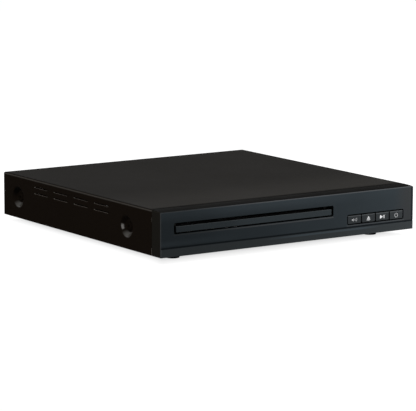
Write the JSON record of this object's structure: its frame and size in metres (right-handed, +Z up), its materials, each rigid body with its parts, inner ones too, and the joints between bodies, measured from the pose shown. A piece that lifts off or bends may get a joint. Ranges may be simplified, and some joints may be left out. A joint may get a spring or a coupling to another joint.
{
  "type": "disc player with tray",
  "caption": "Slim black disc player with a motorised front tray, four front keys, vented steel cover and rear sockets.",
  "frame": {"origin": "bottom centre of the bounding box, on the surface the feet stand on", "axes": "+Z up, -Y out of the front face, +X to the right seen from the front"},
  "size_m": [0.225, 0.2334, 0.038],
  "materials": {
    "cover_paint": "satin black paint",
    "zinc_sheet": "zinc plated sheet",
    "panel_paint": "satin black paint",
    "bezel_plastic": "satin moulded",
    "door_plastic": "satin moulded",
    "key_plastic": "satin moulded",
    "foot_rubber": "matt",
    "black_screws": "black oxide",
    "tray_plastic": "fine matt texture",
    "loader_plastic": "matt",
    "screws": "zinc plated",
    "motor_steel": "plated can",
    "gear_plastic": "natural acetal",
    "brass": "machined",
    "belt_rubber": "matt",
    "shaft_steel": "ground",
    "turntable_plastic": "satin",
    "pickup_plastic": "satin",
    "lens_glass": "coated",
    "switch_plastic": "moulded",
    "circuit_board": "solder mask",
    "chip_plastic": "moulded",
    "heat_sink": "black anodised",
    "capacitor": "sleeved",
    "connector_plastic": "moulded",
    "jack_metal": "nickel plated",
    "socket_black": "moulded",
    "socket_metal": "plated shell",
    "power_parts": "mixed parts",
    "ribbon": "polyester",
    "harness": "wire insulation"
  },
  "bodies": {
    "chassis": {"top_cover": "cover_paint", "chassis_base": "zinc_sheet", "rear_panel": "panel_paint", "front_bezel": "bezel_plastic", "feet": "foot_rubber", "case_screws": "black_screws", "loader_frame": "loader_plastic", "loader_screws": "screws", "clamp_bridge": "zinc_sheet", "loading_motor": "motor_steel", "drive_belt": "belt_rubber", "loader_board": "circuit_board", "key_board": "circuit_board", "key_switches": "switch_plastic", "remote_receiver": "switch_plastic", "main_board": "circuit_board", "main_chips": "chip_plastic", "heat_sink": "heat_sink", "main_capacitors": "capacitor", "board_connectors": "connector_plastic", "phono_jacks": "jack_metal", "scart_socket": "socket_black", "hdmi_socket": "socket_metal", "power_board": "circuit_board", "power_parts": "power_parts", "mains_inlet": "socket_black", "board_screws": "screws", "key_ribbon": "ribbon", "pickup_ribbon": "ribbon", "power_harness": "harness"},
    "tray": {"disc_tray": "tray_plastic", "tray_door": "door_plastic"},
    "tray_gear": {"tray_gear": "gear_plastic"},
    "pulley_gear": {"pulley_gear": "gear_plastic"},
    "motor_pulley": {"motor_pulley": "brass"},
    "cam_slider": {"cam_slider": "gear_plastic"},
    "deck": {"deck_holder": "loader_plastic", "rubber_bushes": "belt_rubber", "deck_screws": "screws", "traverse_plate": "zinc_sheet", "guide_rods": "shaft_steel", "spindle_motor": "motor_steel", "feed_motor": "motor_steel"},
    "turntable": {"spindle_shaft": "shaft_steel", "turntable": "turntable_plastic", "disc_pad": "belt_rubber"},
    "feed_gear": {"feed_gear": "gear_plastic"},
    "feed_pinion": {"feed_pinion": "brass"},
    "pickup": {"pickup_sled": "pickup_plastic", "pickup_lens": "lens_glass"},
    "clamper": {"disc_clamper": "loader_plastic"},
    "sound_key": {"sound_key": "key_plastic", "sound_plunger": "switch_plastic"},
    "eject_key": {"eject_key": "key_plastic", "eject_plunger": "switch_plastic"},
    "play_key": {"play_key": "key_plastic", "play_plunger": "switch_plastic"},
    "power_key": {"power_key": "key_plastic", "power_plunger": "switch_plastic"}
  },
  "joints": [
    {"name": "tray_slide", "type": "slide", "parent": "chassis", "child": "tray", "axis": [0, -1, 0], "range_m": [0, 0.13]},
    {"name": "tray_gear_turn", "type": "hinge", "parent": "chassis", "child": "tray_gear", "pos_m": [-0.0822, -0.0963, 0.015], "axis": [0, 0, 1], "range_deg": [-5, 1070]},
    {"name": "pulley_gear_turn", "type": "hinge", "parent": "chassis", "child": "pulley_gear", "pos_m": [-0.0662, -0.0963, 0.012], "axis": [0, 0, 1], "range_deg": [-3201, 8]},
    {"name": "motor_pulley_turn", "type": "hinge", "parent": "chassis", "child": "motor_pulley", "pos_m": [-0.0422, -0.0963, 0.012], "axis": [0, 0, 1], "range_deg": [-11193, 20]},
    {"name": "deck_tilt", "type": "hinge", "parent": "chassis", "child": "deck", "pos_m": [-0.0317, 0.0437, 0.0154], "axis": [1, 0, 0], "range_deg": [0, 3.6]},
    {"name": "cam_slide", "type": "slide", "parent": "chassis", "child": "cam_slider", "axis": [1, 0, 0], "range_m": [-0.0001, 0.0141]},
    {"name": "turntable_spin", "type": "hinge", "parent": "deck", "child": "turntable", "pos_m": [-0.0317, -0.0478, 0.0255], "axis": [0, 0, 1], "continuous": true},
    {"name": "pickup_slide", "type": "slide", "parent": "deck", "child": "pickup", "axis": [0, 1, 0], "range_m": [0, 0.034]},
    {"name": "feed_gear_turn", "type": "hinge", "parent": "deck", "child": "feed_gear", "pos_m": [-0.0687, -0.018, 0.014], "axis": [0, 0, 1], "range_deg": [-5, 493]},
    {"name": "feed_pinion_turn", "type": "hinge", "parent": "deck", "child": "feed_pinion", "pos_m": [-0.07208, -0.01075, 0.014], "axis": [0, 0, 1], "range_deg": [-1080, 8]},
    {"name": "clamper_spin", "type": "hinge", "parent": "chassis", "child": "clamper", "pos_m": [-0.0317, -0.0478, 0.0289], "axis": [0, 0, 1], "continuous": true},
    {"name": "sound_key_press", "type": "slide", "parent": "chassis", "child": "sound_key", "axis": [0, 1, 0], "range_m": [0, 0.0005], "stiffness_N_per_m": 600},
    {"name": "eject_key_press", "type": "slide", "parent": "chassis", "child": "eject_key", "axis": [0, 1, 0], "range_m": [0, 0.0005], "stiffness_N_per_m": 600},
    {"name": "play_key_press", "type": "slide", "parent": "chassis", "child": "play_key", "axis": [0, 1, 0], "range_m": [0, 0.0005], "stiffness_N_per_m": 600},
    {"name": "power_key_press", "type": "slide", "parent": "chassis", "child": "power_key", "axis": [0, 1, 0], "range_m": [0, 0.0005], "stiffness_N_per_m": 600}
  ],
  "couplings": [
    {"joint": "tray_gear_turn", "follows": "tray_slide", "rad_per_m": 142.86},
    {"joint": "pulley_gear_turn", "follows": "tray_slide", "rad_per_m": -428.57},
    {"joint": "motor_pulley_turn", "follows": "tray_slide", "rad_per_m": -1500},
    {"joint": "cam_slide", "follows": "deck_tilt", "m_per_rad": 0.22282},
    {"joint": "feed_gear_turn", "follows": "pickup_slide", "rad_per_m": 250},
    {"joint": "feed_pinion_turn", "follows": "pickup_slide", "rad_per_m": -550}
  ]
}
